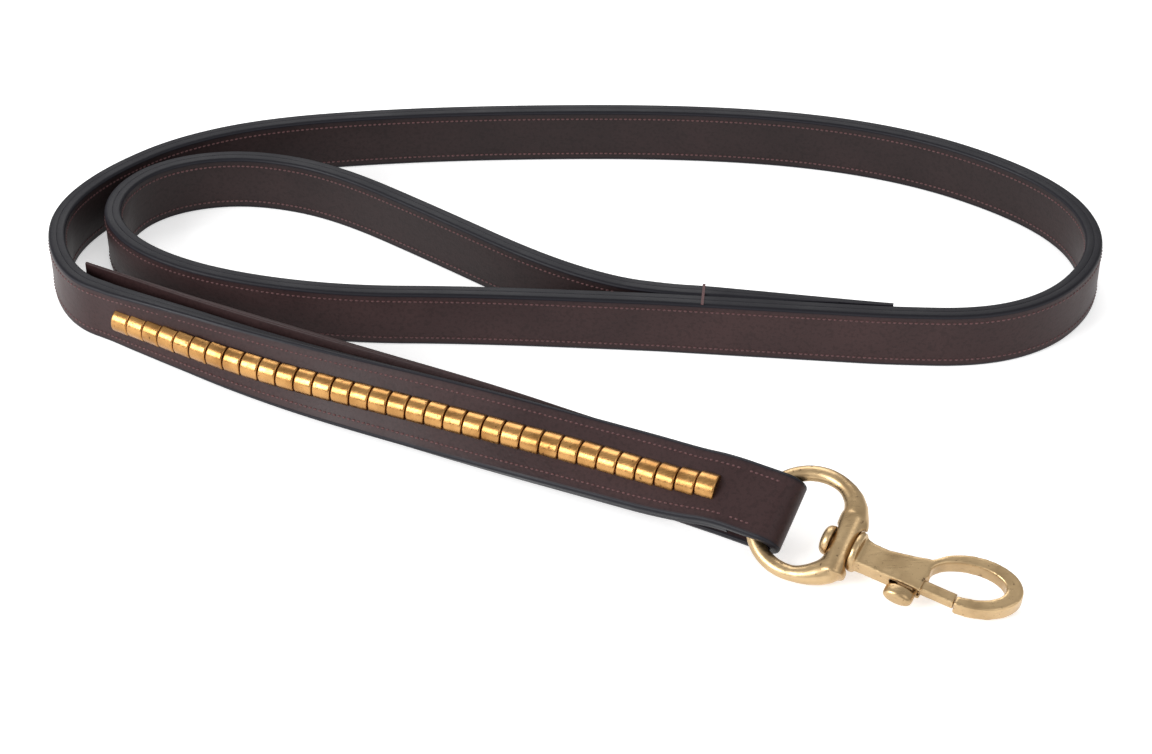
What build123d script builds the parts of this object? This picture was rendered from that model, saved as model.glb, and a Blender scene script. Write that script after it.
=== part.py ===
"""Leather lead with a brass clincher panel and a swivel bolt snap.

The lead stands on its edge, wound into one large oval loop with the hand loop inside it. Units are
millimetres. +X runs to the right along the loop's long side, +Y away from the clincher panel and +Z
up. The origin is the centre of the bounding box, on the floor.
"""
from math import cos, radians, sin, tan
import os

from build123d import *

os.makedirs("parts", exist_ok=True)

# ---------------------------------------------------------------- leather
STRAP_WIDTH = 19.0
PANEL_WIDTH = 22.4
FOLD_WIDTH = 20.8
LAYER = 2.6                  # thickness of one layer of bridle leather
STITCH_MARGIN = 2.7          # from the edge of the leather to the middle of a row of thread
THREAD_WIDTH = 0.8
THREAD_HEIGHT = 0.25
THREAD_SPREAD = 8.1          # half of the distance between the rows on the widest part of the panel
THREAD_END = 0.97            # part of the panel that is stitched, up to the throat
SEWN_MIDDLE = 18.0           # the hand loop's end is sewn down here, from where it first touches
SEWN_LENGTH = 80.0

# Middle of the doubled strap in plan, from the clincher panel round both loops to the hand loop's end.
ROUTE = [
    (-138.5, 11.5), (-150.5, 18.0), (-158.5, 31.5), (-161.5, 48.0), (-157.5, 63.0), (-146.5, 78.5),
    (-128.0, 94.0), (-101.0, 104.8), (-62.0, 110.4), (-15.0, 113.0), (36.0, 112.9), (79.0, 108.0),
    (114.0, 96.8), (141.5, 79.3), (157.5, 61.5), (162.8, 42.0), (158.0, 24.0), (144.0, 7.6),
    (123.0, -0.6), (94.0, 0.5), (23.0, 7.4), (-31.0, 10.9), (-71.0, 11.3), (-107.0, 19.0),
    (-131.5, 31.5), (-144.3, 47.5), (-145.0, 63.0), (-136.5, 76.7), (-120.5, 84.4), (-100.5, 85.2),
    (-76.0, 77.0), (-44.0, 53.7), (-11.5, 28.5), (12.0, 15.8), (29.5, 12.02), (39.5, 11.05),
]
RUN_SHARE = 0.45             # part of the shorter run that a bend's arc takes up
TAPER_LENGTH = 57.0          # skived end of the hand loop
LINING_TAPER = 44.0
TIP_THICKNESS = 1.7

# ---------------------------------------------------------------- clincher panel
# Middle of the panel's front layer between the strap and the throat, where the bow begins.
PANEL_LINE = [
    (-110.4, -7.3, 10.8), (-79.4, -23.1, 11.15), (-49.5, -35.6, 11.25), (-20.4, -48.0, 11.4),
    (8.1, -60.7, 12.0), (31.5, -72.2, 13.3),
]
# Middle of the layer that comes back from the fold, from near the throat to its thin tip.
RETURN_LINE = [
    (29.3, -65.6, 7.5), (4.4, -52.7, 8.1), (-23.8, -37.8, 8.8),
    (-52.7, -24.7, 9.3), (-82.4, -10.6, 9.6), (-113.2, 5.1, 9.75), (-136.5, 18.2, 9.65),
    (-150.5, 26.2, 9.55),
]
LEAN = 60.0                  # how far the panel has leaned back from upright at the throat
PANEL_EASE = 1.8
RETURN_EASE = 1.2
SECTIONS = 14                # cross-sections that the twisted layers are lofted through
TIP_LAYER = 1.0              # thickness of the return layer at its tip
RETURN_WIDTH = 19.0

# ---------------------------------------------------------------- clincher bars
BAR_COUNT = 33
BAR_PITCH = 6.01
BAR_LENGTH = 5.72
BAR_WIDTH = 7.4
BAR_HEIGHT = 2.9
BAR_EDGE = 0.5               # straight side of a bar below its rounded top
BAR_ROUNDING = 0.6
BAR_LIFT = 0.08              # of a bar's flat back from the gently curved face of the panel
BAR_START = 1.6              # from the panel's first section to the first bar

# ---------------------------------------------------------------- bow of the snap
BOW_CENTRE = Vector(64.5, -86.3, 10.4)
BOW_YAW = -27.5
BOW_PITCH = -1.5
BOW_RADIUS = 14.9            # to the middle of the wire
BOW_WIRE = 4.6
BOW_WIRE_DEPTH = 4.2
FOLD_INNER = 3.0             # half of the room between the two sides of the fold
FOLD_CENTRE = -9.7           # along the bow's axis, from the middle of the ring
THROAT = -19.5
BOSS_POSITION = (11.8, -2.6)
BOSS_LENGTH = 18.0
BOSS_DIAMETER = 8.0

# ---------------------------------------------------------------- hook of the snap
HOOK_YAW = -27.5
HOOK_PITCH = -7.0
HOOK_ROLL = 14.0
SEAT_RADIUS = 6.3            # of the flat seat that is cut across the boss and the ring
SEAT = 3.2                   # from the middle of the boss to the face that the collar turns on
RUNNING_GAP = 0.12
COLLAR_RADIUS = 5.8
COLLAR_THICKNESS = 2.0
BODY_THICKNESS = 5.2
EYE_OUTER_CENTRE = (33.3, 4.5)
EYE_OUTER_RADII = (13.6, 8.5)
EYE_INNER_CENTRE = (31.8, 4.2)
EYE_INNER_RADII = (10.4, 5.3)
EYE_TURN = 12.0
STUD_RADIUS = 2.2
STUD_CLEARANCE = 0.05
STUD_DEPTH = 2.6             # of the shank inside the hook
HEAD_RADIUS = 4.3
HEAD_THICKNESS = 2.7
HEAD_ROUNDING = 2.0
HEAD_ROOM = 0.6
BODY_OUTLINE = [
    (1.5, -4.6), (27.0, -4.6), (30.0, 4.0), (27.0, 8.0), (16.0, 5.0), (9.0, 3.4), (4.5, 3.5),
    (1.5, 4.4),
]

# ---------------------------------------------------------------- gate bolt
BOLT_ORIGIN = (21.5, -2.0)   # in the hook's plane, where the bolt leaves the body
BOLT_SIZE = 3.4
BOLT_CLEARANCE = 0.08
BOLT_ROUNDING = 0.7
GATE_LENGTH = 9.3
GATE_GAP = 0.15              # between the tip of the bolt and the nose of the hook
GATE_WIDTH = 5.6
BOLT_TAIL = -7.0
BORE_END = -16.5
STEM_POSITION = -1.6
STEM_DIAMETER = 1.8
STEM_DEPTH = 1.2
STEM_REACH = 2.6
SLOT_HEIGHT = 2.1
SLOT_FRONT = 0.4
SLOT_LENGTH = 9.3
KNOB_LENGTH = 8.6
KNOB_WIDTH = 5.4
KNOB_THICKNESS = 3.8
KNOB_BASE = 3.4              # from the middle of the bolt
KNOB_SHIFT = -3.4            # from the stem back along the bolt
KNOB_ROUNDING = 1.2
SPRING_WIRE = 0.4
SPRING_DIAMETER = 2.6
SPRING_PITCH = 1.55


def corner_radii(points):
    """Radius of the arc at each inner point, as large as the two runs that meet there allow."""
    radii = []
    for before, here, after in zip(points, points[1:], points[2:]):
        first = Vector(*here) - Vector(*before)
        second = Vector(*after) - Vector(*here)
        half_turn = radians(first.get_angle(second)) / 2
        radii.append(RUN_SHARE * min(first.length, second.length) / tan(half_turn))
    return radii


def save(part, name):
    """Label a finished piece and write it as one STEP file."""
    part.label = name
    export_step(part, f"parts/{name}.step")


def blend(share):
    """Ease from 0 to 1 with level ends."""
    share = min(max(share, 0.0), 1.0)
    return share * share * (3 - 2 * share)


def leaning_plane(curve, share, lean, heading):
    """Section plane across a leather layer: X up the face, Y out of the grain side, Z along it."""
    along = (curve % share) * heading
    level = Vector(along.X, along.Y, 0).normalized()
    outward = Vector(level.Y, -level.X, 0)
    up_face = Vector(0, 0, cos(radians(lean))) - outward * sin(radians(lean))
    return Plane(origin=curve @ share, x_dir=up_face, z_dir=level)


def panel_lean(share):
    """Lean of the clincher panel, upright where it meets the strap."""
    return LEAN * (1 - (1 - share) ** PANEL_EASE)


def panel_width(share):
    """Width of the clincher panel, which swells from the strap and narrows a little at the fold."""
    swell = (PANEL_WIDTH - STRAP_WIDTH) * blend(share / 0.7)
    return STRAP_WIDTH + swell - (PANEL_WIDTH - FOLD_WIDTH) * blend((share - 0.85) / 0.15)


def return_lean(share):
    """Lean of the return layer, from the throat to its upright tip."""
    return LEAN * (1 - share) ** RETURN_EASE


# ---------------------------------------------------------------- strap path
strap_radii = corner_radii(ROUTE)
print("bend radii:", [round(radius, 1) for radius in strap_radii])
with BuildLine(Plane.XY.offset(STRAP_WIDTH / 2)) as strap_path:
    FilletPolyline(*ROUTE, radius=strap_radii)
strap_wire = strap_path.wire()
strap_heading = strap_wire % 0
strap_section = Plane(
    origin=strap_wire @ 0,
    x_dir=(-strap_heading.Y, strap_heading.X, 0),
    z_dir=strap_heading,
)
end_heading = strap_wire % 1
end_side = Vector(-end_heading.Y, end_heading.X, 0)
strap_end = strap_wire @ 1
# Local X runs to the tip of the hand loop's end, local Y away from the strap it is sewn to.
taper_plane = Plane(
    origin=Vector(strap_end.X, strap_end.Y, 0) - end_side * LAYER, x_dir=end_heading, z_dir=(0, 0, 1)
)
print("strap length:", round(strap_wire.length, 1))

# ---------------------------------------------------------------- bow and hook frames
bow_axis = Vector(
    cos(radians(BOW_PITCH)) * cos(radians(BOW_YAW)),
    cos(radians(BOW_PITCH)) * sin(radians(BOW_YAW)),
    sin(radians(BOW_PITCH)),
)
bow_side = Vector(-sin(radians(BOW_YAW)), cos(radians(BOW_YAW)), 0)
bow_up = bow_axis.cross(bow_side)
bow_across = bow_up * cos(radians(LEAN)) + bow_side * sin(radians(LEAN))
bow_normal = bow_axis.cross(bow_across)
bow_plane = Plane(origin=BOW_CENTRE, x_dir=bow_axis, z_dir=bow_normal)
fold_plane = Plane(origin=BOW_CENTRE, x_dir=bow_axis, z_dir=bow_across)

hook_axis = Vector(
    cos(radians(HOOK_PITCH)) * cos(radians(HOOK_YAW)),
    cos(radians(HOOK_PITCH)) * sin(radians(HOOK_YAW)),
    sin(radians(HOOK_PITCH)),
)
hook_level = Vector(-sin(radians(HOOK_YAW)), cos(radians(HOOK_YAW)), 0)
hook_side = hook_level.rotate(Axis((0, 0, 0), hook_axis), HOOK_ROLL)
boss_centre = bow_plane.from_local_coords(Vector(*BOSS_POSITION, 0))
hook_plane = Plane(
    origin=boss_centre + hook_axis * (SEAT + RUNNING_GAP),
    x_dir=hook_axis,
    z_dir=hook_axis.cross(hook_side),
)
swivel_plane = Plane(origin=hook_plane.origin, x_dir=hook_plane.y_dir, z_dir=hook_axis)
bolt_plane = Plane(
    origin=hook_plane.from_local_coords(Vector(*BOLT_ORIGIN, 0)),
    x_dir=hook_axis,
    z_dir=hook_plane.z_dir,
)
bolt_section = Plane(origin=bolt_plane.origin, x_dir=bolt_plane.y_dir, z_dir=hook_axis)
knob_plane = Plane(
    origin=bolt_plane.from_local_coords(Vector(STEM_POSITION, 0, 0)),
    x_dir=hook_axis,
    z_dir=-bolt_plane.y_dir,
)


def throat_plane(height):
    """Section plane where a layer enters the fold, at a height above the middle of the bow."""
    return Plane(
        origin=BOW_CENTRE + bow_axis * THROAT + bow_normal * height, x_dir=bow_across, z_dir=bow_axis
    )


FRONT_HEIGHT = FOLD_INNER + LAYER / 2

# ---------------------------------------------------------------- lines of the twisted layers
with BuildLine() as panel_curve:
    Spline(
        strap_section.from_local_coords(Vector(LAYER / 2, 0, 0)),
        *PANEL_LINE,
        throat_plane(FRONT_HEIGHT).origin,
        tangents=(-strap_heading, bow_axis),
    )
panel_wire = panel_curve.wire()

with BuildLine() as return_curve:
    Spline(throat_plane(-FRONT_HEIGHT).origin, *RETURN_LINE)
return_wire = return_curve.wire()
print("panel length:", round(panel_wire.length, 1), "return length:", round(return_wire.length, 1))


def panel_plane(share, depth=0.0):
    """Section plane of the clincher panel, or of a layer at a depth behind it."""
    face = leaning_plane(panel_wire, share, panel_lean(share), 1)
    return Plane(origin=face.origin - face.y_dir * depth, x_dir=face.x_dir, z_dir=face.z_dir)


def return_plane(share):
    """Section plane of the return layer, with its Y towards the panel."""
    return leaning_plane(return_wire, share, return_lean(share), -1)


# ---------------------------------------------------------------- leather
with BuildPart() as outer_leather:
    with BuildSketch(strap_section):
        with Locations((LAYER / 2, 0)):
            Rectangle(LAYER, STRAP_WIDTH)
    sweep(path=strap_wire)
    with BuildSketch(taper_plane):
        with BuildLine():
            Polyline(
                (0, LAYER),
                (0, 2 * LAYER),
                (TAPER_LENGTH, TIP_THICKNESS),
                (TAPER_LENGTH, 0),
                (LINING_TAPER, 0),
                close=True,
            )
        make_face()
    extrude(amount=STRAP_WIDTH)
    for step in range(SECTIONS):
        share = step / SECTIONS
        with BuildSketch(panel_plane(share)):
            Rectangle(panel_width(share), LAYER)
    with BuildSketch(throat_plane(FRONT_HEIGHT)):
        Rectangle(FOLD_WIDTH, LAYER)
    loft()
    with BuildSketch(fold_plane):
        with BuildLine():
            inner_start = (THROAT, -FOLD_INNER)
            Polyline(inner_start, (FOLD_CENTRE, -FOLD_INNER))
            ThreePointArc(
                (FOLD_CENTRE, -FOLD_INNER), (FOLD_CENTRE + FOLD_INNER, 0), (FOLD_CENTRE, FOLD_INNER)
            )
            Polyline(
                (FOLD_CENTRE, FOLD_INNER),
                (THROAT, FOLD_INNER),
                (THROAT, FOLD_INNER + LAYER),
                (FOLD_CENTRE, FOLD_INNER + LAYER),
            )
            ThreePointArc(
                (FOLD_CENTRE, FOLD_INNER + LAYER),
                (FOLD_CENTRE + FOLD_INNER + LAYER, 0),
                (FOLD_CENTRE, -FOLD_INNER - LAYER),
            )
            Polyline((FOLD_CENTRE, -FOLD_INNER - LAYER), (THROAT, -FOLD_INNER - LAYER), inner_start)
        make_face()
    extrude(amount=FOLD_WIDTH / 2, both=True)
    with BuildSketch(throat_plane(-FRONT_HEIGHT)):
        Rectangle(FOLD_WIDTH, LAYER)
    for step in range(1, SECTIONS + 1):
        share = step / SECTIONS
        with BuildSketch(return_plane(share)):
            Rectangle(
                FOLD_WIDTH + (RETURN_WIDTH - FOLD_WIDTH) * blend(share / 0.4),
                LAYER + (TIP_LAYER - LAYER) * blend((share - 0.7) / 0.3),
            )
    loft()
save(outer_leather.part, "outer_leather")

with BuildPart() as lining_leather:
    with BuildSketch(strap_section):
        with Locations((-LAYER / 2, 0)):
            Rectangle(LAYER, STRAP_WIDTH)
    sweep(path=strap_wire)
    with BuildSketch(taper_plane):
        with BuildLine():
            Polyline((0, 0), (0, LAYER), (LINING_TAPER, 0), close=True)
        make_face()
    extrude(amount=STRAP_WIDTH)
    for step in range(SECTIONS):
        share = step / SECTIONS
        with BuildSketch(panel_plane(share, LAYER)):
            Rectangle(panel_width(share), LAYER)
    with BuildSketch(throat_plane(FRONT_HEIGHT - LAYER)):
        Rectangle(FOLD_WIDTH, LAYER)
    loft()
save(lining_leather.part, "lining_leather")

# ---------------------------------------------------------------- thread
thread_offset = STRAP_WIDTH / 2 - STITCH_MARGIN
with BuildPart() as outer_thread:
    with BuildSketch(strap_section):
        with Locations(*[(LAYER + THREAD_HEIGHT / 2, side * thread_offset) for side in (-1, 1)]):
            Rectangle(THREAD_HEIGHT, THREAD_WIDTH)
    sweep(path=strap_wire)
    for side in (-1, 1):
        for step in range(SECTIONS):
            share = step / SECTIONS * THREAD_END
            with BuildSketch(panel_plane(share)):
                row = thread_offset + (THREAD_SPREAD - thread_offset) * blend(share / 0.7)
                with Locations((side * row, (LAYER + THREAD_HEIGHT) / 2)):
                    Rectangle(THREAD_WIDTH, THREAD_HEIGHT)
        loft()
save(outer_thread.part, "outer_thread")

with BuildPart() as inner_thread:
    with BuildSketch(strap_section):
        with Locations(*[(-LAYER - THREAD_HEIGHT / 2, side * thread_offset) for side in (-1, 1)]):
            Rectangle(THREAD_HEIGHT, THREAD_WIDTH)
    sweep(path=strap_wire)
    with BuildSketch(taper_plane):
        with Locations((SEWN_MIDDLE, 0)):
            Rectangle(SEWN_LENGTH, 3 * LAYER)
    extrude(amount=STRAP_WIDTH, mode=Mode.SUBTRACT)
save(inner_thread.part, "inner_thread")

with BuildPart() as whip_stitch:
    with BuildSketch(taper_plane.offset(STRAP_WIDTH)):
        Rectangle(THREAD_WIDTH, 4 * LAYER)
    extrude(amount=THREAD_HEIGHT)
save(whip_stitch.part, "whip_stitch")

# ---------------------------------------------------------------- clincher bars
with BuildPart() as clincher_bar:
    with BuildSketch(Plane.XY):
        with BuildLine():
            Polyline(
                (-BAR_WIDTH / 2, BAR_EDGE),
                (-BAR_WIDTH / 2, 0),
                (BAR_WIDTH / 2, 0),
                (BAR_WIDTH / 2, BAR_EDGE),
            )
            ThreePointArc(
                (BAR_WIDTH / 2, BAR_EDGE), (0, BAR_HEIGHT), (-BAR_WIDTH / 2, BAR_EDGE)
            )
        make_face()
    extrude(amount=BAR_LENGTH / 2, both=True)
    end_faces = clincher_bar.faces().filter_by(Axis.Z)
    fillet(end_faces.edges().filter_by(GeomType.CIRCLE), radius=BAR_ROUNDING)

bar_seats = []
for index in range(BAR_COUNT):
    share = (BAR_START + BAR_PITCH * (index + 0.5)) / panel_wire.length
    bar_seats.append(panel_plane(share, -LAYER / 2 - BAR_LIFT).location)
with BuildPart() as clincher_bars:
    with Locations(*bar_seats):
        add(clincher_bar.part)
save(clincher_bars.part, "clincher_bars")

# ---------------------------------------------------------------- swivel bow
with BuildPart() as swivel_bow:
    with BuildSketch(fold_plane):
        with Locations((BOW_RADIUS, 0)):
            Ellipse(BOW_WIRE / 2, BOW_WIRE_DEPTH / 2)
    revolve(axis=Axis(BOW_CENTRE, bow_normal))
    with BuildSketch(Plane(origin=boss_centre, x_dir=bow_axis, z_dir=bow_across)):
        Circle(BOSS_DIAMETER / 2)
    extrude(amount=BOSS_LENGTH / 2, both=True)
    with BuildSketch(swivel_plane.offset(-RUNNING_GAP)):
        Circle(SEAT_RADIUS)
    extrude(amount=SEAT_RADIUS, mode=Mode.SUBTRACT)
    with BuildSketch(swivel_plane.offset(-RUNNING_GAP - 2 * SEAT)):
        Circle(HEAD_RADIUS + HEAD_ROOM)
    extrude(amount=-SEAT_RADIUS, mode=Mode.SUBTRACT)
    with BuildSketch(swivel_plane):
        Circle(STUD_RADIUS + STUD_CLEARANCE)
    extrude(amount=-3 * SEAT, mode=Mode.SUBTRACT)
save(swivel_bow.part, "swivel_bow")

with BuildPart() as swivel_stud:
    with BuildSketch(swivel_plane.offset(STUD_DEPTH)):
        Circle(STUD_RADIUS)
    extrude(amount=-STUD_DEPTH - 2 * RUNNING_GAP - 2 * SEAT)
    with BuildSketch(swivel_plane.offset(-2 * RUNNING_GAP - 2 * SEAT)):
        Circle(HEAD_RADIUS)
    extrude(amount=-HEAD_THICKNESS)
    head_rim = swivel_stud.faces().sort_by(Axis(hook_plane.origin, hook_axis))[0].edges()
    fillet(head_rim, radius=HEAD_ROUNDING)
save(swivel_stud.part, "swivel_stud")

# ---------------------------------------------------------------- hook
with BuildPart() as hook_body:
    with BuildSketch(hook_plane):
        with BuildLine():
            Polyline(*BODY_OUTLINE, close=True)
        make_face()
        with Locations(Location((*EYE_OUTER_CENTRE, 0), EYE_TURN)):
            Ellipse(*EYE_OUTER_RADII)
        with Locations(Location((*EYE_INNER_CENTRE, 0), EYE_TURN)):
            Ellipse(*EYE_INNER_RADII, mode=Mode.SUBTRACT)
    extrude(amount=BODY_THICKNESS / 2, both=True)
    with BuildSketch(swivel_plane):
        Circle(COLLAR_RADIUS)
    extrude(amount=COLLAR_THICKNESS)
    with BuildSketch(bolt_plane):
        with Locations(((GATE_LENGTH + GATE_GAP) / 2, 0)):
            Rectangle(GATE_LENGTH + GATE_GAP, GATE_WIDTH)
    extrude(amount=BODY_THICKNESS, both=True, mode=Mode.SUBTRACT)
    with BuildSketch(bolt_section.offset(BORE_END)):
        Rectangle(BOLT_SIZE + 2 * BOLT_CLEARANCE, BOLT_SIZE + 2 * BOLT_CLEARANCE)
    extrude(amount=-BORE_END + BOLT_CLEARANCE, mode=Mode.SUBTRACT)
    with BuildSketch(bolt_plane):
        with Locations((SLOT_FRONT - SLOT_LENGTH / 2, -GATE_WIDTH / 2)):
            Rectangle(SLOT_LENGTH, GATE_WIDTH)
    extrude(amount=SLOT_HEIGHT / 2, both=True, mode=Mode.SUBTRACT)
    with BuildSketch(swivel_plane):
        Circle(STUD_RADIUS)
    extrude(amount=STUD_DEPTH, mode=Mode.SUBTRACT)
save(hook_body.part, "hook_body")

# ---------------------------------------------------------------- gate bolt, knob and spring
with BuildPart() as gate_bolt:
    with BuildSketch(bolt_section.offset(BOLT_TAIL)):
        Rectangle(BOLT_SIZE, BOLT_SIZE)
    extrude(amount=GATE_LENGTH - BOLT_TAIL)
    fillet(gate_bolt.edges().filter_by(Axis(bolt_plane.origin, hook_axis)), radius=BOLT_ROUNDING)
    with BuildSketch(knob_plane.offset(BOLT_SIZE / 2)):
        Circle(STEM_DIAMETER / 2)
    extrude(amount=-STEM_DEPTH, mode=Mode.SUBTRACT)
save(gate_bolt.part, "gate_bolt")

with BuildPart() as thumb_knob:
    with BuildSketch(knob_plane.offset(BOLT_SIZE / 2 - STEM_DEPTH)):
        Circle(STEM_DIAMETER / 2)
    extrude(amount=STEM_DEPTH + STEM_REACH)
    with BuildSketch(knob_plane.offset(KNOB_BASE)):
        with Locations((KNOB_SHIFT, 0)):
            Ellipse(KNOB_LENGTH / 2, KNOB_WIDTH / 2)
    extrude(amount=KNOB_THICKNESS)
    knob_face = thumb_knob.faces().sort_by(Axis(knob_plane.origin, knob_plane.z_dir))[-1]
    fillet(knob_face.edges(), radius=KNOB_ROUNDING)
save(thumb_knob.part, "thumb_knob")

spring_plane = bolt_section.offset(BORE_END + SPRING_WIRE)
spring_length = BOLT_TAIL - BORE_END - 2 * SPRING_WIRE
with BuildPart() as bolt_spring:
    with BuildLine() as spring_line:
        Helix(
            pitch=SPRING_PITCH,
            height=spring_length,
            radius=(SPRING_DIAMETER - SPRING_WIRE) / 2,
            center=spring_plane.origin,
            direction=hook_axis,
        )
    with BuildSketch(Plane(spring_line.line @ 0, z_dir=spring_line.line % 0)):
        Circle(SPRING_WIRE / 2)
    sweep(path=spring_line.line, is_frenet=True)
save(bolt_spring.part, "bolt_spring")
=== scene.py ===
"""Leather lead with a brass clincher panel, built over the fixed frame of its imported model."""
import logging
import math
from dataclasses import dataclass, field
from enum import Enum
from typing import Sequence

import bmesh
import bpy
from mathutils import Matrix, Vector


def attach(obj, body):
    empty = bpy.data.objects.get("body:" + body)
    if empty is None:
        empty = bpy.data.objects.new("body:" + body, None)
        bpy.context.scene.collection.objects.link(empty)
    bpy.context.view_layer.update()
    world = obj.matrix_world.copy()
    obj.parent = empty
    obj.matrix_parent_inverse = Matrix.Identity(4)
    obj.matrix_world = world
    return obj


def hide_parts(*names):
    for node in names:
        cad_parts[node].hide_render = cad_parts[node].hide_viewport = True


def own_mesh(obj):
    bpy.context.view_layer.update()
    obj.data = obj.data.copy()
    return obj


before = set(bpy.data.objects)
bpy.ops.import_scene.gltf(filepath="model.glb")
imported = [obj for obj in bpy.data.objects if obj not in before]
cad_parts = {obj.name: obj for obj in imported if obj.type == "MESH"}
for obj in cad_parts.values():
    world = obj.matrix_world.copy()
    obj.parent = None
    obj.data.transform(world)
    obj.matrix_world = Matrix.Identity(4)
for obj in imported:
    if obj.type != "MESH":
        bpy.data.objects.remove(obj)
log = logging.getLogger("lead")
MM = 0.001
Point = tuple[float, float, float]

# Middle of the doubled strap in plan, in millimetres, from the panel to the hand loop's end.
ROUTE = [
    (-138.5, 11.5), (-150.5, 18.0), (-158.5, 31.5), (-161.5, 48.0), (-157.5, 63.0), (-146.5, 78.5),
    (-128.0, 94.0), (-101.0, 104.8), (-62.0, 110.4), (-15.0, 113.0), (36.0, 112.9), (79.0, 108.0),
    (114.0, 96.8), (141.5, 79.3), (157.5, 61.5), (162.8, 42.0), (158.0, 24.0), (144.0, 7.6),
    (123.0, -0.6), (94.0, 0.5), (82.0, 1.67), (35.0, 6.24), (23.0, 7.4), (-31.0, 10.9),
    (-71.0, 11.3), (-107.0, 19.0),
    (-131.5, 31.5), (-144.3, 47.5), (-145.0, 63.0), (-136.5, 76.7), (-120.5, 84.4), (-100.5, 85.2),
    (-76.0, 77.0), (-44.0, 53.7), (-11.5, 28.5), (12.0, 15.8), (29.5, 12.02), (39.5, 11.05),
    (58.35, 8.64), (77.2, 6.22), (96.06, 3.81),
]
# Middle of the panel's front layer, from the throat back to the strap, without its two ends.
PANEL_LINE = [
    (31.5, -72.2, 13.3), (8.1, -60.7, 12.0), (-20.4, -48.0, 11.4), (-49.5, -35.6, 11.25),
    (-79.4, -23.1, 11.15), (-110.4, -7.3, 10.8),
]
# Middle of the layer that comes back behind the panel, to its thin tip.
RETURN_LINE = [
    (29.3, -65.6, 7.5), (4.4, -52.7, 8.1), (-23.8, -37.8, 8.8), (-52.7, -24.7, 9.3),
    (-82.4, -10.6, 9.6), (-113.2, 5.1, 9.75), (-136.5, 18.2, 9.65), (-150.5, 26.2, 9.55),
]


class Side(Enum):
    """The two faces of the doubled leather."""

    GRAIN = 1
    LINING = -1


def blend(share: float) -> float:
    """Ease from 0 to 1 with level ends."""
    share = min(max(share, 0.0), 1.0)
    return share * share * (3 - 2 * share)


def heading(yaw: float, pitch: float) -> Vector:
    """Turn a yaw and a pitch into a direction.

    Args:
        yaw: Degrees round from the x axis.
        pitch: Degrees above the floor.

    Returns:
        The unit direction.
    """
    level = math.cos(math.radians(pitch))
    return Vector((
        level * math.cos(math.radians(yaw)), level * math.sin(math.radians(yaw)),
        math.sin(math.radians(pitch)),
    ))


def ride(piece: bpy.types.Object, body: str, slot: str, *nodes: str) -> bpy.types.Object:
    """Put a piece on a body and let it stand for CAD nodes.

    Args:
        piece: The finished piece.
        body: The CAD body that it moves with.
        slot: Not used.
        nodes: The CAD nodes that it replaces.

    Returns:
        The same piece.
    """
    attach(piece, body)
    if nodes:
        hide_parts(*nodes)
    log.info("%s rides on %s, %d faces", piece.name, body, len(piece.data.polygons))
    return piece


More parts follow.
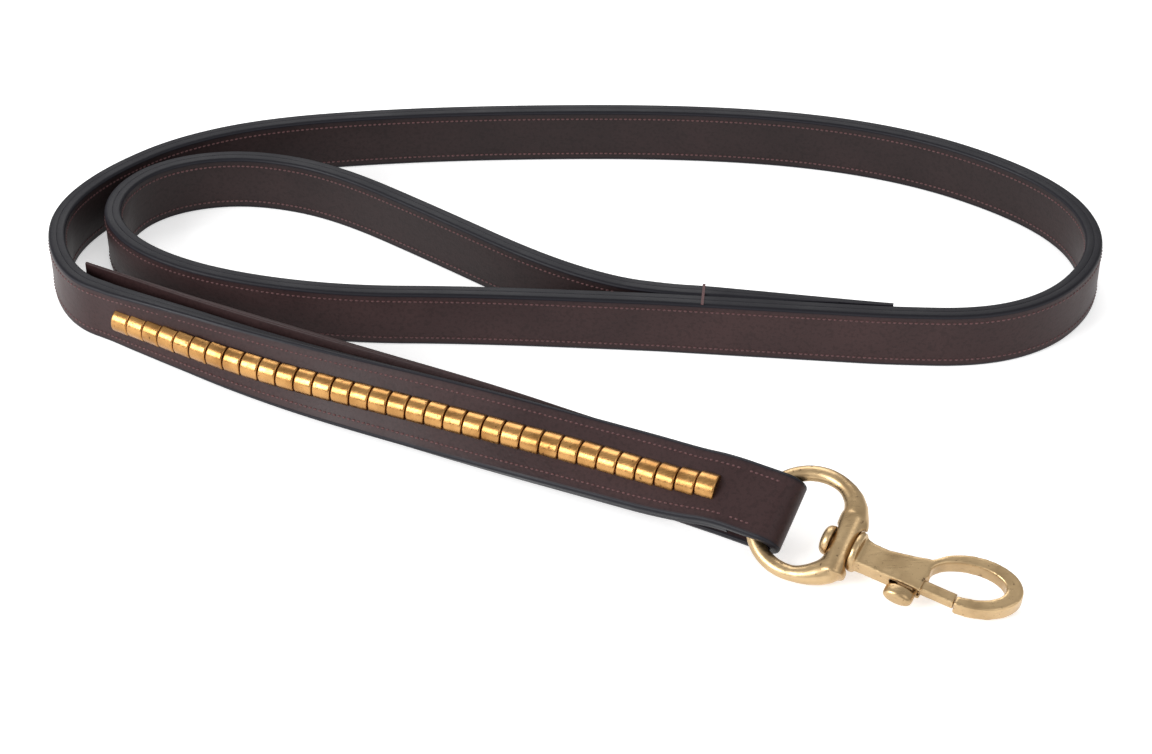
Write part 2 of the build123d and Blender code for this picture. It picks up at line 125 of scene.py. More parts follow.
# ---------------------------------------------------------------- finishes
class Nodes:
    """A small helper that adds shader nodes and links them."""

    def __init__(self, name: str) -> None:
        """Start an empty material with a Principled shader.

        Args:
            name: The material's name.
        """
        self.material = bpy.data.materials.new(name)
        self.material.use_nodes = True
        self.tree = self.material.node_tree
        self.tree.nodes.clear()
        self.shader = self.add("ShaderNodeBsdfPrincipled")
        output = self.add("ShaderNodeOutputMaterial")
        self.link(self.shader, "BSDF", output, "Surface")
        self.place = self.add("ShaderNodeTexCoord")

    def add(self, kind: str, **settings: object) -> bpy.types.Node:
        """Add a node.

        Args:
            kind: The node's type.
            settings: Its properties.

        Returns:
            The new node.
        """
        node = self.tree.nodes.new(kind)
        for key, value in settings.items():
            setattr(node, key, value)
        return node

    def link(self, source: bpy.types.Node, out: str, target: bpy.types.Node, into: str | int) -> None:
        """Link an output to an input by name or number."""
        self.tree.links.new(source.outputs[out], target.inputs[into])

    def noise(self, scale: float, detail: float = 3.0, stretch: Point = (1, 1, 1)) -> bpy.types.Node:
        """Add noise on the piece's own coordinates.

        Args:
            scale: How fine the noise is.
            detail: How many finer layers it has.
            stretch: How much finer it is along each axis.

        Returns:
            The noise node.
        """
        mapping = self.add("ShaderNodeMapping")
        mapping.inputs["Scale"].default_value = stretch
        self.link(self.place, "Object", mapping, "Vector")
        noise = self.add("ShaderNodeTexNoise")
        noise.inputs["Scale"].default_value = scale
        noise.inputs["Detail"].default_value = detail
        self.link(mapping, "Vector", noise, "Vector")
        return noise

    def ramp(self, source: bpy.types.Node, out: str, stops: Sequence[tuple]) -> bpy.types.Node:
        """Add a colour ramp.

        Args:
            source: The node that feeds it.
            out: The output of that node.
            stops: Pairs of a position and a colour.

        Returns:
            The ramp node.
        """
        ramp = self.add("ShaderNodeValToRGB")
        elements = ramp.color_ramp.elements
        while len(elements) < len(stops):
            elements.new(0.5)
        for element, (position, colour) in zip(elements, stops):
            element.position = position
            element.color = (*colour, 1.0)
        self.link(source, out, ramp, "Fac")
        return ramp

    def mix(self, kind: str, factor: object, first: object, second: object) -> bpy.types.Node:
        """Mix two colours.

        Args:
            kind: The way of mixing.
            factor: A share, or a node that gives it.
            first: A colour, or a node that gives it.
            second: A colour, or a node that gives it.

        Returns:
            The mixing node.
        """
        mix = self.add("ShaderNodeMixRGB", blend_type=kind)
        for value, socket in ((factor, "Fac"), (first, "Color1"), (second, "Color2")):
            if isinstance(value, tuple):
                mix.inputs[socket].default_value = (*value, 1.0)
            elif isinstance(value, float):
                mix.inputs[socket].default_value = value
            else:
                out = next(o for o in value.outputs if o.name in ("Color", "Fac", "Distance"))
                self.tree.links.new(out, mix.inputs[socket])
        return mix

    def bump(self, source: bpy.types.Node, out: str, depth: float, strength: float,
             below: bpy.types.Node | None = None) -> bpy.types.Node:
        """Add a bump to the shader's normal.

        Args:
            source: The node that gives the height.
            out: The output of that node.
            depth: The bump's depth in metres.
            strength: How much of it shows.
            below: Another bump that this one lies over.

        Returns:
            The bump node.
        """
        bump = self.add("ShaderNodeBump")
        bump.inputs["Distance"].default_value = depth
        bump.inputs["Strength"].default_value = strength
        self.link(source, out, bump, "Height")
        if below is not None:
            self.link(below, "Normal", bump, "Normal")
        self.link(bump, "Normal", self.shader, "Normal")
        return bump


@dataclass(frozen=True)
class BridleLeather:
    """Dyed bridle leather with a fine grain, a burnished black edge and a painted highlight on the
    edge's rim and crease.
    """

    name: str
    face: Point
    worn: Point
    edge: Point = (0.0065, 0.0060, 0.0095)
    # Lighter colour painted along the edge's rounded rim and along the crease as a highlight.
    rim_highlight: Point = (0.030, 0.029, 0.036)
    roughness: float = 0.46

    def make(self) -> bpy.types.Material:
        """Build the material; the meshes carry its edge attribute and its rim attribute, which places
        the painted highlight.

        Returns:
            The material.
        """
        n = Nodes(self.name)
        clouds = n.noise(38.0, 4.0)
        colour = n.ramp(clouds, "Fac", [(0.35, self.face), (0.68, self.worn)])
        pores = n.noise(900.0, 2.0)
        specks = n.ramp(pores, "Fac", [(0.36, (0.55, 0.55, 0.55)), (0.5, (1.0, 1.0, 1.0))])
        colour = n.mix("MULTIPLY", 0.5, colour, specks)
        edge = n.add("ShaderNodeAttribute", attribute_name="edge")
        colour = n.mix("MIX", edge, colour, self.edge)
        # Painted highlight: the rim attribute mixes the lighter rim colour in.
        rim_highlight = n.add("ShaderNodeAttribute", attribute_name="rim_highlight")
        colour = n.mix("MIX", rim_highlight, colour, self.rim_highlight)
        n.link(colour, "Color", n.shader, "Base Color")
        shine = n.ramp(clouds, "Fac", [
            (0.3, (self.roughness - 0.06,) * 3), (0.7, (self.roughness + 0.1,) * 3)])
        n.link(shine, "Color", n.shader, "Roughness")
        n.shader.inputs["Specular IOR Level"].default_value = 0.20
        grain = n.noise(1500.0, 3.0)
        folds = n.noise(260.0, 3.0, (1.0, 1.0, 2.2))
        lower = n.bump(grain, "Fac", 0.00012, 0.35)
        n.bump(folds, "Fac", 0.0003, 0.22, lower)
        return n.material


@dataclass(frozen=True)
class WaxedThread:
    """Twisted, waxed thread."""

    name: str = "waxed_thread"
    colour: Point = (0.055, 0.017, 0.018)
    light: Point = (0.115, 0.045, 0.046)

    def make(self) -> bpy.types.Material:
        """Build the thread with its fine twist.

        Returns:
            The material.
        """
        n = Nodes(self.name)
        twist = n.noise(2600.0, 2.0)
        colour = n.ramp(twist, "Fac", [(0.35, self.colour), (0.7, self.light)])
        n.link(colour, "Color", n.shader, "Base Color")
        n.shader.inputs["Roughness"].default_value = 0.6
        n.bump(twist, "Fac", 0.0001, 0.5)
        return n.material


@dataclass(frozen=True)
class Brass:
    """Brass with handling marks, darker specks and small pits."""

    name: str
    bright: Point
    dull: Point
    stain: Point
    roughness: float
    marks: float

    def make(self) -> bpy.types.Material:
        """Build the metal from broad tarnish, fine specks and scratches.

        Returns:
            The material.
        """
        n = Nodes(self.name)
        clouds = n.noise(120.0, 5.0)
        colour = n.ramp(clouds, "Fac", [(0.32, self.dull), (0.6, self.bright)])
        specks = n.noise(700.0, 2.0)
        stain = n.ramp(specks, "Fac", [(0.24, (1.0, 1.0, 1.0)), (0.33, (0.0, 0.0, 0.0))])
        colour = n.mix("MIX", stain, colour, self.stain)
        n.link(colour, "Color", n.shader, "Base Color")
        n.shader.inputs["Metallic"].default_value = 1.0
        scratches = n.noise(420.0, 4.0, (1.0, 6.0, 2.0))
        rough = n.ramp(scratches, "Fac", [
            (0.3, (self.roughness - 0.07,) * 3), (0.72, (self.roughness + self.marks,) * 3)])
        n.link(rough, "Color", n.shader, "Roughness")
        lower = n.bump(scratches, "Fac", 0.00006, 0.12)
        n.bump(clouds, "Fac", 0.0003, 0.12, lower)
        return n.material


@dataclass(frozen=True)
class SpringWire:
    """Bright spring wire."""

    name: str = "spring_wire"

    def make(self) -> bpy.types.Material:
        """Build the drawn steel.

        Returns:
            The material.
        """
        n = Nodes(self.name)
        drawn = n.noise(900.0, 2.0)
        colour = n.ramp(drawn, "Fac", [(0.3, (0.35, 0.35, 0.36)), (0.7, (0.6, 0.6, 0.6))])
        n.link(colour, "Color", n.shader, "Base Color")
        n.shader.inputs["Metallic"].default_value = 1.0
        n.shader.inputs["Roughness"].default_value = 0.3
        return n.material


# ---------------------------------------------------------------- leather
@dataclass
class Ring:
    """One cross-section of a leather layer."""

    centre: Vector
    across: Vector
    out: Vector
    width: float
    thickness: float
    dye: float = 1.0


@dataclass
class LeatherSizes:
    """Sizes of the leather, in millimetres."""

    width: float = 19.0
    panel_width: float = 22.4
    fold_width: float = 20.8
    layer: float = 2.6
    lean: float = 60.0
    bow_centre: Point = (64.5, -86.3, 10.4)
    bow_yaw: float = -27.5
    bow_pitch: float = -1.5
    throat: float = -19.5
    fold_inner: float = 3.0
    fold_centre: float = -9.7
    taper: float = 57.0
    lining_taper: float = 44.0
    tip: float = 1.7
    return_tip: float = 1.0
    panel_length: float = 206.4
    row_start: float = 1.2
    row_end: float = 2.0
    row_inset: float = 2.75
    panel_inset: float = 0.45
    lining_start: float = 206.0
    sewn_start: float = 22.0
    sewn_end: float = 100.0
    sewn_side: float = 20.0
    stitch_length: float = 1.34
    stitch_width: float = 0.70
    stitch_pitch: float = 1.6
    stitch_sink: float = 0.08
    edge_band: float = 1.0
    crease: float = 0.8
    thinnest: float = 0.15
    twist: float = 0.012


def shell(name: str, rings: Sequence[Ring], sizes: LeatherSizes, rounding: tuple[float, float],
          crease: bool, material: bpy.types.Material) -> bpy.types.Object:
    """Skin a row of rounded cross-sections into one closed layer.

    Args:
        name: The piece's name.
        rings: The cross-sections, in metres.
        sizes: The sizes of the dyed edge and the crease.
        rounding: Radius of the corners on the out face and on the other one, in millimetres.
        crease: Whether a creased line runs along the out face.
        material: The finish.

    Returns:
        The new piece, with its edge attribute and its rim attribute, which gives each point's share of
        painted highlight.
    """
    points: list[Vector] = []
    edges: list[float] = []
    rim_highlights: list[float] = []
    faces: list[tuple[int, ...]] = []
    for ring in rings:
        half, top = ring.width / 2, ring.thickness / 2
        dye, line = sizes.edge_band * MM, sizes.crease * MM
        profile: list[tuple[float, float, float, float]] = []
        for face in (1, -1):
            shade = ring.dye
            r = min(rounding[0 if face > 0 else 1] * MM, ring.thickness * 0.45)
            dip = 0.12 * MM if crease and face > 0 else 0.0
            # Each point holds its place across, its place out, its share of black edge dye and its
            # share of painted highlight; the crease line gets a faint painted highlight.
            row = [
                (half - dye - 1.1 * MM, top, 0.0, 0.0), (half - dye - 0.6 * MM, top, 0.12 * shade, 0.0),
                (half - dye - 0.2 * MM, top, 0.3 * shade, 0.0),
                (half - line - 0.2 * MM, top, 0.5 * shade, 0.0),
                (half - line, top - dip, 0.9 * shade, 0.1 * shade),
            ]
            for step in range(5):
                a = math.radians(90 - 22.5 * step)
                # Painted highlight on the rounded corner, just below its top.
                shine = 0.45 * shade if step == 1 else 0.0
                x, y = half - r + r * math.cos(a), top - r + r * math.sin(a)
                row.append((x, y, shade, shine))
            middle = [((half - dye - 1.1 * MM) * k, top, 0.0, 0.0) for k in (-0.33, 0.33)]
            left = [(-x, y, e, m) for x, y, e, m in reversed(row)]
            profile += [(x * face, y * face, e, m) for x, y, e, m in left + middle + row]
        for x, y, e, m in profile:
            points.append(ring.centre + ring.across * x + ring.out * y)
            edges.append(e)
            rim_highlights.append(m)
    count = len(points) // len(rings)
    for i in range(len(rings) - 1):
        for j in range(count):
            k = (j + 1) % count
            faces.append((i * count + j, i * count + k, (i + 1) * count + k, (i + 1) * count + j))
    faces.append(tuple(range(count - 1, -1, -1)))
    last = (len(rings) - 1) * count
    faces.append(tuple(last + j for j in range(count)))
    mesh = bpy.data.meshes.new(name)
    mesh.from_pydata([tuple(p) for p in points], [], faces)
    for key, values in (("edge", edges), ("rim_highlight", rim_highlights)):
        mesh.attributes.new(key, "FLOAT", "POINT").data.foreach_set("value", values)
    mesh.materials.append(material)
    face_outwards(mesh)
    piece = bpy.data.objects.new(name, mesh)
    bpy.context.scene.collection.objects.link(piece)
    return piece


def face_outwards(mesh: bpy.types.Mesh, angle: float = 40.0) -> None:
    """Turn all faces outwards and shade them smooth.

    Args:
        mesh: The mesh to change.
        angle: Edges sharper than this, in degrees, stay sharp.
    """
    bm = bmesh.new()
    bm.from_mesh(mesh)
    bmesh.ops.recalc_face_normals(bm, faces=bm.faces)
    bm.to_mesh(mesh)
    bm.free()
    mesh.shade_smooth()
    mesh.set_sharp_from_angle(angle=math.radians(angle))


def spline_points(name: str, controls: Sequence[Point]) -> list[Vector]:
    """Read points from a NURBS spline through millimetre control points.

    Args:
        name: The name of the curve while it is being read.
        controls: The route's points.

    Returns:
        Points along the smooth line, in metres.
    """
    curve = bpy.data.curves.new(name, "CURVE")
    curve.dimensions = "3D"
    curve.resolution_u = 14
    spline = curve.splines.new("NURBS")
    spline.points.add(len(controls) - 1)
    for point, control in zip(spline.points, controls):
        point.co = (*(Vector(control) * MM), 1.0)
    spline.order_u = 3
    spline.use_endpoint_u = True
    holder = bpy.data.objects.new(name, curve)
    bpy.context.scene.collection.objects.link(holder)
    line = bpy.data.meshes.new_from_object(holder)
    points = [v.co.copy() for v in line.vertices]
    bpy.data.objects.remove(holder)
    bpy.data.meshes.remove(line)
    return points


def lengths(points: Sequence[Vector]) -> list[float]:
    """Measure along a line of points.

    Args:
        points: The line's points.

    Returns:
        The distance of each point from the first.
    """
    total = [0.0]
    for first, second in zip(points, points[1:]):
        total.append(total[-1] + (second - first).length)
    return total


@dataclass
class LeatherLead:
    """The doubled strap with its clincher panel, fold and hand loop."""

    leather: bpy.types.Material
    lining: bpy.types.Material
    thread: bpy.types.Material
    sizes: LeatherSizes = field(default_factory=LeatherSizes)

    def __post_init__(self) -> None:
        """Work out the bow's directions and the strap's line."""
        s = self.sizes
        self.axis = heading(s.bow_yaw, s.bow_pitch)
        side = heading(s.bow_yaw + 90, 0)
        up = self.axis.cross(side)
        lean = math.radians(s.lean)
        self.across = up * math.cos(lean) + side * math.sin(lean)
        self.normal = self.axis.cross(self.across)
        self.front = s.fold_inner + s.layer / 2
        self.path = self.strap_line()
        self.far = lengths(self.path)
        self.rings = [self.section(i) for i in range(len(self.path))]

    def bow_point(self, along: float, height: float) -> Vector:
        """Point beside the bow, in millimetres along its axis and above its middle."""
        return Vector(self.sizes.bow_centre) + self.axis * along + self.normal * height

    def strap_line(self) -> list[Vector]:
        """Line of the front layer's middle on the panel and of the doubled strap's middle beyond.

        Returns:
            Points read from the smooth line through the route, in metres.
        """
        level = self.sizes.width / 2
        start = self.bow_point(self.sizes.throat, self.front)
        near = self.bow_point(self.sizes.throat - 6.0, self.front)
        controls = [tuple(start), tuple(near), *PANEL_LINE]
        controls += [(x, y, level) for x, y in ROUTE]
        return spline_points("strap_line", controls)

    def section(self, index: int) -> Ring:
        """Work out the cross-section of the outer layer.

        Args:
            index: The point of the line.

        Returns:
            The cross-section.
        """
        s = self.sizes
        before = self.path[max(index - 1, 0)]
        after = self.path[min(index + 1, len(self.path) - 1)]
        way = after - before
        way.z = 0
        way.normalize()
        left = Vector((-way.y, way.x, 0))
        share = 1 - self.far[index] / (s.panel_length * MM)
        lean, width = 0.0, s.width
        if share > 0:
            lean = math.radians(s.lean * (1 - (1 - share) ** 1.8))
            width += (s.panel_width - s.width) * blend(share / 0.7)
            width -= (s.panel_width - s.fold_width) * blend((share - 0.85) / 0.15)
        across = Vector((0, 0, math.cos(lean))) - left * math.sin(lean)
        out = left * math.cos(lean) + Vector((0, 0, math.sin(lean)))
        turn = blend(1 - self.far[index] / s.twist)
        across = across.lerp(self.across, turn).normalized()
        out = out.lerp(self.normal, turn).normalized()
        thick = self.full(index) - self.below(index)
        doubled = blend(self.far[index] / (s.panel_length * MM) * 6 - 5)
        centre = self.path[index] + out * (self.middle(index) * doubled * MM)
        return Ring(centre, across, out, width * MM, thick * MM)

    def below(self, index: int) -> float:
        """Work out how thick the lining is.

        Args:
            index: The point of the line.

        Returns:
            The thickness in millimetres.
        """
        s = self.sizes
        along = s.taper - (self.far[-1] - self.far[index]) / MM
        return s.layer * min(max(1 - max(along, 0.0) / s.lining_taper, 0.0), 1.0)

    def full(self, index: int) -> float:
        """Work out how thick both layers are together.

        Args:
            index: The point of the line.

        Returns:
            The thickness in millimetres.
        """
        s = self.sizes
        along = max(s.taper - (self.far[-1] - self.far[index]) / MM, 0.0)
        return 2 * s.layer - (2 * s.layer - s.tip) * along / s.taper

    def middle(self, index: int) -> float:
        """Distance of the outer layer's middle from the doubled strap's, in millimetres."""
        return self.below(index) / 2

    def outer_strap(self) -> bpy.types.Object:
        """Grain-side layer from the throat round to the hand loop's thin end."""
        return shell("outer_strap", self.rings, self.sizes, (0.95, 0.12), True, self.leather)

    def lining_rings(self) -> list[Ring]:
        """Place the lining against the back of the outer layer.

        Returns:
            The lining's cross-sections, to where it is skived away.
        """
        s = self.sizes
        rings = []
        for index, ring in enumerate(self.rings):
            thick = self.below(index)
            if thick < s.thinnest:
                break
            centre = ring.centre - ring.out * (ring.thickness / 2 + thick * MM / 2)
            rings.append(Ring(centre, ring.across, ring.out, ring.width, thick * MM))
        return rings

    def fold_rings(self) -> list[Ring]:
        """Take the leather round the bow and back behind the panel.

        Returns:
            The cross-sections of the fold and the returning layer.
        """
        s = self.sizes
        rings = []
        for along in (s.throat, -17.0, -14.5, -12.0):
            rings.append(self.fold_ring(along, 90.0))
        for step in range(15):
            rings.append(self.fold_ring(s.fold_centre, 90.0 - 180.0 * step / 14))
        for along in (-12.0, -14.5, -17.0):
            rings.append(self.fold_ring(along, -90.0))
        start = self.bow_point(s.throat, -self.front)
        near = self.bow_point(s.throat - 6.0, -self.front)
        line = spline_points("return_line", [tuple(start), tuple(near), *RETURN_LINE])
        far = lengths(line)
        for index in range(0, len(line), 2):
            share = far[index] / far[-1]
            way = line[max(index - 1, 0)] - line[min(index + 1, len(line) - 1)]
            way.z = 0
            way.normalize()
            front = Vector((way.y, -way.x, 0))
            lean = math.radians(s.lean * (1 - share) ** 1.2)
            across = Vector((0, 0, math.cos(lean))) - front * math.sin(lean)
            panel_side = front * math.cos(lean) + Vector((0, 0, math.sin(lean)))
            turn = blend(1 - far[index] / s.twist)
            across = across.lerp(self.across, turn).normalized()
            panel_side = panel_side.lerp(self.normal, turn).normalized()
            width = s.fold_width + (s.width - s.fold_width) * blend(share / 0.4)
            thick = s.layer + (s.return_tip - s.layer) * blend((share - 0.7) / 0.3)
            dye = 1 - blend((share - 0.02) / 0.12)
            rings.append(Ring(line[index], across, -panel_side, width * MM, thick * MM, dye))
        return rings

    def fold_ring(self, along: float, turn: float) -> Ring:
        """Work out one cross-section of the fold.

        Args:
            along: Place along the bow's axis, in millimetres.
            turn: Angle round the fold, in degrees.

        Returns:
            The cross-section.
        """
        s = self.sizes
        a = math.radians(turn)
        out = self.axis * math.cos(a) + self.normal * math.sin(a)
        centre = self.bow_point(along, 0.0) + out * self.front
        return Ring(centre * MM, self.across.copy(), out, s.fold_width * MM, s.layer * MM)

    def stitch_marks(self) -> list[tuple[Vector, Vector, Vector]]:
        """Find where the stitches go.

        Returns:
            The place, direction and outward side of every stitch.
        """
        marks = []
        pitch = self.sizes.stitch_pitch * MM
        last = self.far[-1] - self.sizes.row_end * MM
        for side in Side:
            for edge in (1, -1):
                reach = 0.0
                for index in range(1, len(self.rings) - 2):
                    ring = self.rings[index]
                    here = self.far[index]
                    if here < self.sizes.row_start * MM or here > last:
                        continue
                    inset = self.sizes.row_inset + self.sizes.panel_inset * blend((0.2 - here) / 0.1)
                    place = ring.across * edge * (ring.width / 2 - inset * MM)
                    if side is Side.GRAIN:
                        place = ring.centre + place + ring.out * (ring.thickness / 2)
                        out = ring.out
                    else:
                        if self.sewn(ring.centre) or here < self.sizes.lining_start * MM:
                            continue
                        depth = ring.thickness / 2 + self.sizes.layer * MM
                        place = ring.centre + place - ring.out * depth
                        out = -ring.out
                    step = self.path[index + 1] - self.path[index]
                    while reach <= here + step.length:
                        if reach >= here:
                            way = step.normalized()
                            marks.append((place + way * (reach - here), way, out))
                        reach += pitch
        for edge in (1, -1):
            for step in range(6 if edge > 0 else 4):
                along = self.sizes.throat + 0.6 + step * self.sizes.stitch_pitch
                place = self.bow_point(along, self.front) * MM
                place += self.across * edge * (self.sizes.fold_width / 2 - 3.2) * MM
                place += self.normal * self.sizes.layer / 2 * MM
                marks.append((place, self.axis, self.normal))
        return marks

    def sewn(self, place: Vector) -> bool:
        """Whether the hand loop's end lies against the strap here."""
        s = self.sizes
        return s.sewn_start * MM < place.x < s.sewn_end * MM and place.y < s.sewn_side * MM

    def stitches(self) -> bpy.types.Object:
        """Lay all stitches with a Geometry Nodes tree.

        Returns:
            The stitches as one piece.
        """
        marks = self.stitch_marks()
        mesh = bpy.data.meshes.new("stitch_marks")
        sink = self.sizes.stitch_sink * MM
        mesh.from_pydata([tuple(m[0] - m[2] * sink) for m in marks], [], [])
        for key, column in (("along", 1), ("out", 2)):
            layer = mesh.attributes.new(key, "FLOAT_VECTOR", "POINT")
            layer.data.foreach_set("vector", [v for m in marks for v in m[column]])
        holder = bpy.data.objects.new("stitching", mesh)
        bpy.context.scene.collection.objects.link(holder)
        tree = stitch_tree()
        modifier = holder.modifiers.new("stitches", "NODES")
        modifier.node_group = tree
        for item in tree.interface.items_tree:
            if item.name == "Thread":
                modifier[item.identifier] = self.thread
            if item.name == "Length":
                modifier[item.identifier] = self.sizes.stitch_length * MM
            if item.name == "Width":
                modifier[item.identifier] = self.sizes.stitch_width * MM
        return applied(holder, "stitching")


def applied(holder: bpy.types.Object, name: str) -> bpy.types.Object:
    """Turn an object with live modifiers into a plain piece.

    Args:
        holder: The object with its modifiers.
        name: The finished piece's name.

    Returns:
        The plain piece; the holder is gone.
    """
    bpy.context.view_layer.update()
    depsgraph = bpy.context.evaluated_depsgraph_get()
    mesh = bpy.data.meshes.new_from_object(holder.evaluated_get(depsgraph))
    bpy.data.objects.remove(holder)
    mesh.name = name
    mesh.shade_smooth()
    piece = bpy.data.objects.new(name, mesh)
    bpy.context.scene.collection.objects.link(piece)
    return piece


def stitch_tree() -> bpy.types.GeometryNodeTree:
    """Build the tree that lays one slightly turned, sunken stitch on every mark.

    Returns:
        The tree, with the stitch's length, width and thread as inputs.
    """
    tree = bpy.data.node_groups.new("stitch_rows", "GeometryNodeTree")
    face = tree.interface
    face.new_socket("Geometry", in_out="INPUT", socket_type="NodeSocketGeometry")
    for name, value in (("Length", 0.0018), ("Width", 0.0007)):
        face.new_socket(name, in_out="INPUT", socket_type="NodeSocketFloat").default_value = value
    face.new_socket("Thread", in_out="INPUT", socket_type="NodeSocketMaterial")
    face.new_socket("Geometry", in_out="OUTPUT", socket_type="NodeSocketGeometry")

    def add(kind: str, **settings: object) -> bpy.types.Node:
        """Add a node.

        Args:
            kind: The node's type.
            settings: Its properties.

        Returns:
            The new node.
        """
        node = tree.nodes.new(kind)
        for key, value in settings.items():
            setattr(node, key, value)
        return node

    def join(source: bpy.types.NodeSocket, target: bpy.types.NodeSocket) -> None:
        """Link two sockets."""
        tree.links.new(source, target)

    given = add("NodeGroupInput")
    done = add("NodeGroupOutput")
    ball = add("GeometryNodeMeshUVSphere")
    ball.inputs["Segments"].default_value = 6
    ball.inputs["Rings"].default_value = 4
    ball.inputs["Radius"].default_value = 0.5
    size = add("ShaderNodeCombineXYZ")
    join(given.outputs["Length"], size.inputs["X"])
    join(given.outputs["Width"], size.inputs["Y"])
    join(given.outputs["Width"], size.inputs["Z"])
    shape = add("GeometryNodeTransform")
    join(ball.outputs["Mesh"], shape.inputs["Geometry"])
    join(size.outputs["Vector"], shape.inputs["Scale"])
    along = add("GeometryNodeInputNamedAttribute", data_type="FLOAT_VECTOR")
    along.inputs["Name"].default_value = "along"
    out = add("GeometryNodeInputNamedAttribute", data_type="FLOAT_VECTOR")
    out.inputs["Name"].default_value = "out"
    first = add("FunctionNodeAlignRotationToVector", axis="X")
    join(along.outputs["Attribute"], first.inputs["Vector"])
    second = add("FunctionNodeAlignRotationToVector", axis="Z", pivot_axis="X")
    join(first.outputs["Rotation"], second.inputs["Rotation"])
    join(out.outputs["Attribute"], second.inputs["Vector"])
    slant = add("FunctionNodeRandomValue", data_type="FLOAT")
    slant.inputs[2].default_value = 0.05
    slant.inputs[3].default_value = 0.19
    slant.inputs["Seed"].default_value = 7
    turn = add("ShaderNodeCombineXYZ")
    join(slant.outputs[1], turn.inputs["Z"])
    spin = add("FunctionNodeRotateRotation", rotation_space="LOCAL")
    join(second.outputs["Rotation"], spin.inputs["Rotation"])
    join(turn.outputs["Vector"], spin.inputs["Rotate By"])
    lay = add("GeometryNodeInstanceOnPoints")
    join(given.outputs["Geometry"], lay.inputs["Points"])
    join(shape.outputs["Geometry"], lay.inputs["Instance"])
    join(spin.outputs["Rotation"], lay.inputs["Rotation"])
    real = add("GeometryNodeRealizeInstances")
    join(lay.outputs["Instances"], real.inputs["Geometry"])
    dress = add("GeometryNodeSetMaterial")
    join(real.outputs["Geometry"], dress.inputs["Geometry"])
    join(given.outputs["Thread"], dress.inputs["Material"])
    join(dress.outputs["Geometry"], done.inputs["Geometry"])
    return tree


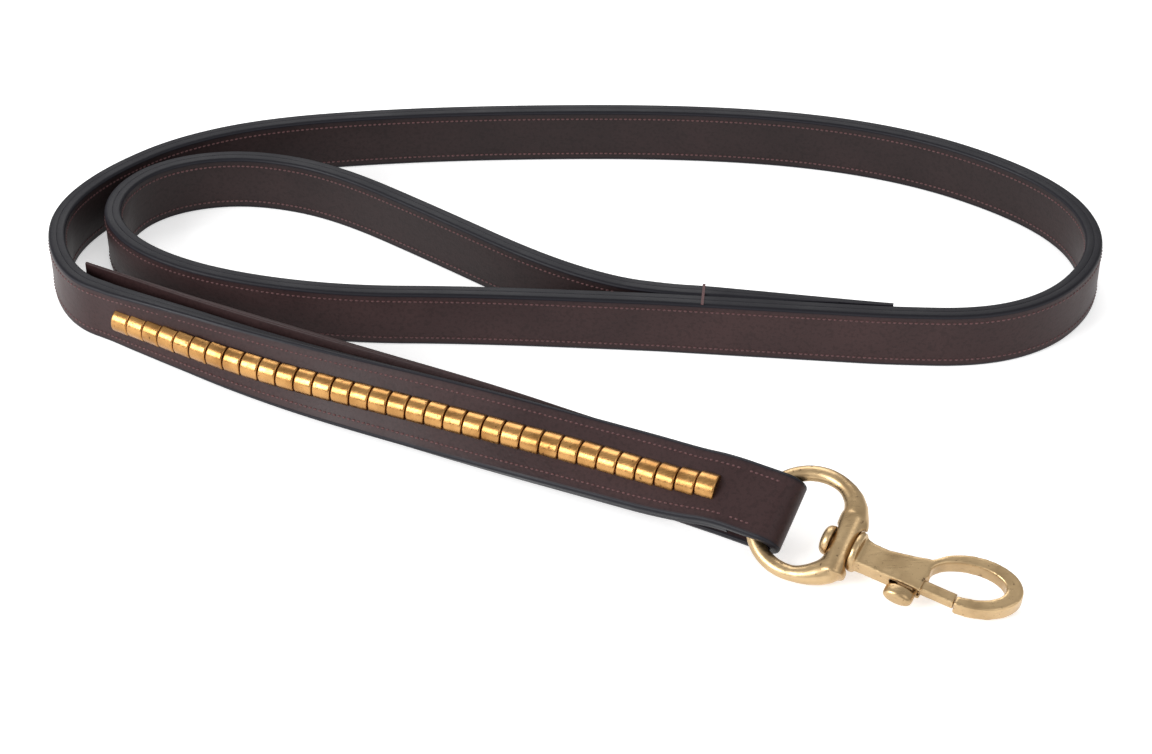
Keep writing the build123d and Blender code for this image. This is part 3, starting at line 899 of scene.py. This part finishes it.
# ---------------------------------------------------------------- brass
@dataclass
class BrassWork:
    """The clincher bars and the swivel snap."""

    cast: bpy.types.Material
    clinchers: bpy.types.Material
    wire: bpy.types.Material
    thread: bpy.types.Material
    lead: LeatherLead
    voxel: float = 0.00026
    hook_yaw: float = -27.5
    hook_pitch: float = -7.0
    spring_keep: float = 0.28
    flares: tuple[tuple[Point, ...], ...] = (
        (
            (11.8, 3.8, 4.0), (11.9, 6.0, 3.8), (11.2, 8.6, 3.4),
            (9.6, 11.0, 2.9), (7.3, 12.9, 2.5), (5.1, 14.0, 2.15),
        ),
        (
            (11.6, -9.0, 4.0), (10.4, -10.8, 3.8), (8.4, -12.3, 3.4),
            (5.9, -13.6, 2.9), (3.4, -14.5, 2.5), (1.3, -14.84, 2.15),
        ),
    )

    def add_flare(self, mesh: bpy.types.Mesh, stations: Sequence[Point]) -> None:
        """Add a tapering arm that runs from the boss out into the ring's wire.

        Args:
            mesh: The bow's mesh.
            stations: Place along the bow, place across it and radius, in millimetres.
        """
        around = 24
        bm = bmesh.new()
        bm.from_mesh(mesh)
        origin = Vector(self.lead.sizes.bow_centre)
        centres = [origin + self.lead.axis * x + self.lead.across * y for x, y, _ in stations]
        rows = []
        for index, (centre, (_, _, radius)) in enumerate(zip(centres, stations)):
            way = centres[min(index + 1, len(centres) - 1)] - centres[max(index - 1, 0)]
            flat = self.lead.normal.cross(way).normalized()
            row = []
            for step in range(around):
                a = math.tau * step / around
                place = centre + (flat * math.cos(a) + self.lead.normal * math.sin(a)) * radius
                row.append(bm.verts.new(place * MM))
            rows.append(row)
        skin = [bm.faces.new(tuple(reversed(rows[0]))), bm.faces.new(tuple(rows[-1]))]
        for first, second in zip(rows, rows[1:]):
            for j in range(around):
                k = (j + 1) % around
                skin.append(bm.faces.new((first[j], first[k], second[k], second[j])))
        bmesh.ops.recalc_face_normals(bm, faces=skin)
        bm.to_mesh(mesh)
        bm.free()

    def cast_piece(self, node: str, name: str, body: str, softness: int,
                   arms: Sequence[Sequence[Point]] = ()) -> bpy.types.Object:
        """Copy of a node with the softly rounded edges of a polished casting.

        Args:
            node: The CAD node to stand for.
            name: The new piece's name.
            body: The body that it rides on.
            softness: How many times its surface is smoothed.
            arms: Tapering arms that are added before the surface is closed.

        Returns:
            The new piece.
        """
        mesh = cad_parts[node].data.copy()
        mesh.name = name
        for stations in arms:
            self.add_flare(mesh, stations)
        holder = bpy.data.objects.new(name + "_rough", mesh)
        bpy.context.scene.collection.objects.link(holder)
        weld = holder.modifiers.new("weld", "WELD")
        weld.merge_threshold = 0.00001
        remesh = holder.modifiers.new("remesh", "REMESH")
        remesh.mode = "VOXEL"
        remesh.voxel_size = self.voxel
        smooth = holder.modifiers.new("polish", "SMOOTH")
        smooth.factor = 0.5
        smooth.iterations = softness
        piece = applied(holder, name)
        piece.data.materials.clear()
        piece.data.materials.append(self.cast)
        return ride(piece, body, "cast_brass", node)

    def coil(self) -> bpy.types.Object:
        """Return spring; in the real snap it shortens towards the blind end of its bore as the bolt
        slides back, but here it is a plain copy of the CAD coil that rides on the hook.

        Returns:
            The new piece.
        """
        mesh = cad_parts["bolt_spring"].data.copy()
        mesh.name = "return_spring"
        bm = bmesh.new()
        bm.from_mesh(mesh)
        bmesh.ops.remove_doubles(bm, verts=bm.verts, dist=0.000005)
        bm.to_mesh(mesh)
        bm.free()
        mesh.materials.clear()
        mesh.materials.append(self.wire)
        piece = bpy.data.objects.new("return_spring", mesh)
        bpy.context.scene.collection.objects.link(piece)
        ride(piece, "hook", "spring_steel", "bolt_spring")
        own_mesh(piece)
        return piece

    def build(self) -> None:
        """Dress the bars and build the cast pieces of the snap."""
        self.cast_piece("swivel_bow", "cast_bow", "bow", 46, self.flares)
        self.cast_piece("hook_body", "cast_hook", "hook", 46)
        self.cast_piece("swivel_stud", "cast_stud", "hook", 6)
        self.cast_piece("gate_bolt", "cast_bolt", "bolt", 3)
        self.cast_piece("thumb_knob", "cast_knob", "bolt", 54)
        self.coil()
        for node, finish in (("clincher_bars", self.clinchers), ("whip_stitch", self.thread)):
            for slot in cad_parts[node].material_slots:
                slot.material = finish
            log.info("%s dressed", node)


# ---------------------------------------------------------------- studio
@dataclass
class Studio:
    """Pale floor, soft lights and the camera."""

    elevation: float = 38.0
    distance: float = 0.811
    target: Point = (0.001, -0.0075, 0.0)
    lens: float = 84.375

    def build(self) -> None:
        """Make the floor, the lights, the sky and the camera."""
        scene = bpy.context.scene
        mesh = bpy.data.meshes.new("floor")
        mesh.from_pydata([(-3, -3, 0), (3, -3, 0), (3, 3, 0), (-3, 3, 0)], [], [(0, 1, 2, 3)])
        floor = bpy.data.objects.new("floor", mesh)
        n = Nodes("pale_floor")
        n.shader.inputs["Base Color"].default_value = (0.92, 0.92, 0.92, 1)
        n.shader.inputs["Roughness"].default_value = 0.9
        n.shader.inputs["Emission Color"].default_value = (1, 1, 1, 1)
        n.shader.inputs["Emission Strength"].default_value = 0.45
        mesh.materials.append(n.material)
        scene.collection.objects.link(floor)
        world = bpy.data.worlds.new("studio")
        world.use_nodes = True
        world.node_tree.nodes["Background"].inputs["Color"].default_value = (1, 1, 1, 1)
        world.node_tree.nodes["Background"].inputs["Strength"].default_value = 0.60
        scene.world = world
        for name, place, power, size in (
            ("key", (-1.25, -0.75, 0.75), 22.0, 0.8), ("fill", (0.7, -0.9, 1.0), 3.0, 0.8),
            ("back", (-0.1, 1.1, 1.1), 8.0, 1.0),
        ):
            light = bpy.data.lights.new(name, "AREA")
            light.energy = power
            light.size = size
            lamp = bpy.data.objects.new(name, light)
            lamp.location = place
            lamp.rotation_euler = (-Vector(place)).to_track_quat("-Z", "Y").to_euler()
            scene.collection.objects.link(lamp)
        camera = bpy.data.cameras.new("camera")
        camera.lens = self.lens
        camera.sensor_width = 36.0
        view = bpy.data.objects.new("camera", camera)
        tilt = math.radians(self.elevation)
        back = Vector((0, -math.cos(tilt), math.sin(tilt))) * self.distance
        view.location = Vector(self.target) + back
        view.rotation_euler = (math.radians(90) - tilt, 0, 0)
        scene.collection.objects.link(view)
        scene.camera = view
        scene.view_settings.view_transform = "Standard"


def main() -> None:
    """Build the lead piece by piece."""
    logging.basicConfig(level=logging.INFO)
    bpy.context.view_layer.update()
    Studio().build()
    leather = BridleLeather("bridle_leather", (0.0285, 0.0135, 0.0138), (0.041, 0.0205, 0.0205)).make()
    # The lining is a darker copy of the bridle leather; its extra darkness is painted shade on the
    # strap's inner layer.
    lining = BridleLeather("lining_leather", (0.0165, 0.0090, 0.0092), (0.0250, 0.0140, 0.0142)).make()
    thread = WaxedThread().make()
    lead = LeatherLead(leather, lining, thread)
    strap = ride(lead.outer_strap(), "lead", "leather_outer", "outer_leather")
    back = shell("lining_strap", lead.lining_rings(), lead.sizes, (0.12, 0.95), False, lining)
    ride(back, "lead", "leather_lining", "lining_leather")
    fold = shell("fold_and_return", lead.fold_rings(), lead.sizes, (0.95, 0.5), True, leather)
    ride(fold, "lead", "leather_outer", "outer_leather")
    ride(lead.stitches(), "lead", "thread", "outer_thread", "inner_thread")
    cast = Brass("cast_brass", (0.56, 0.40, 0.22), (0.40, 0.275, 0.145), (0.20, 0.13, 0.07), 0.33, 0.12)
    clinch = Brass(
        "clincher_brass", (0.53, 0.285, 0.100), (0.32, 0.155, 0.048), (0.13, 0.06, 0.020), 0.25, 0.16)
    BrassWork(cast.make(), clinch.make(), SpringWire().make(), thread, lead).build()


if __name__ == "__main__":
    main()
